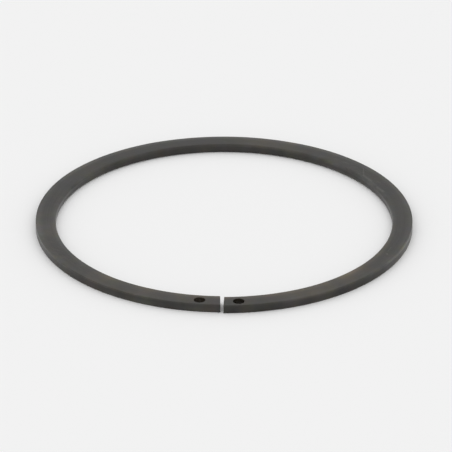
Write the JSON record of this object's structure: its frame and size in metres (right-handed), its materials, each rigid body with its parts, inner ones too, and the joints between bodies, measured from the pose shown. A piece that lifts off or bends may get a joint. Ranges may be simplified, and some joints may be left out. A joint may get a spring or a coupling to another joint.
{
  "type": "circlip retaining ring",
  "caption": "Split flat-wire retaining ring with a narrow gap and a small plier hole near each cut end, to sit in a shaft groove and hold parts in place.",
  "frame": {"origin": "on the axis of the ring's inner circle, at its underside", "axes": "+Z along the ring's axis, up from the face it lies on; -Y through the middle of the gap"},
  "size_m": [0.168, 0.1687, 0.004],
  "materials": {
    "oxidised_spring_steel": "hardened spring steel with a matt black oxide finish, lightly oiled"
  },
  "bodies": {
    "root": {"retaining_ring": "oxidised_spring_steel"}
  },
  "joints": []
}
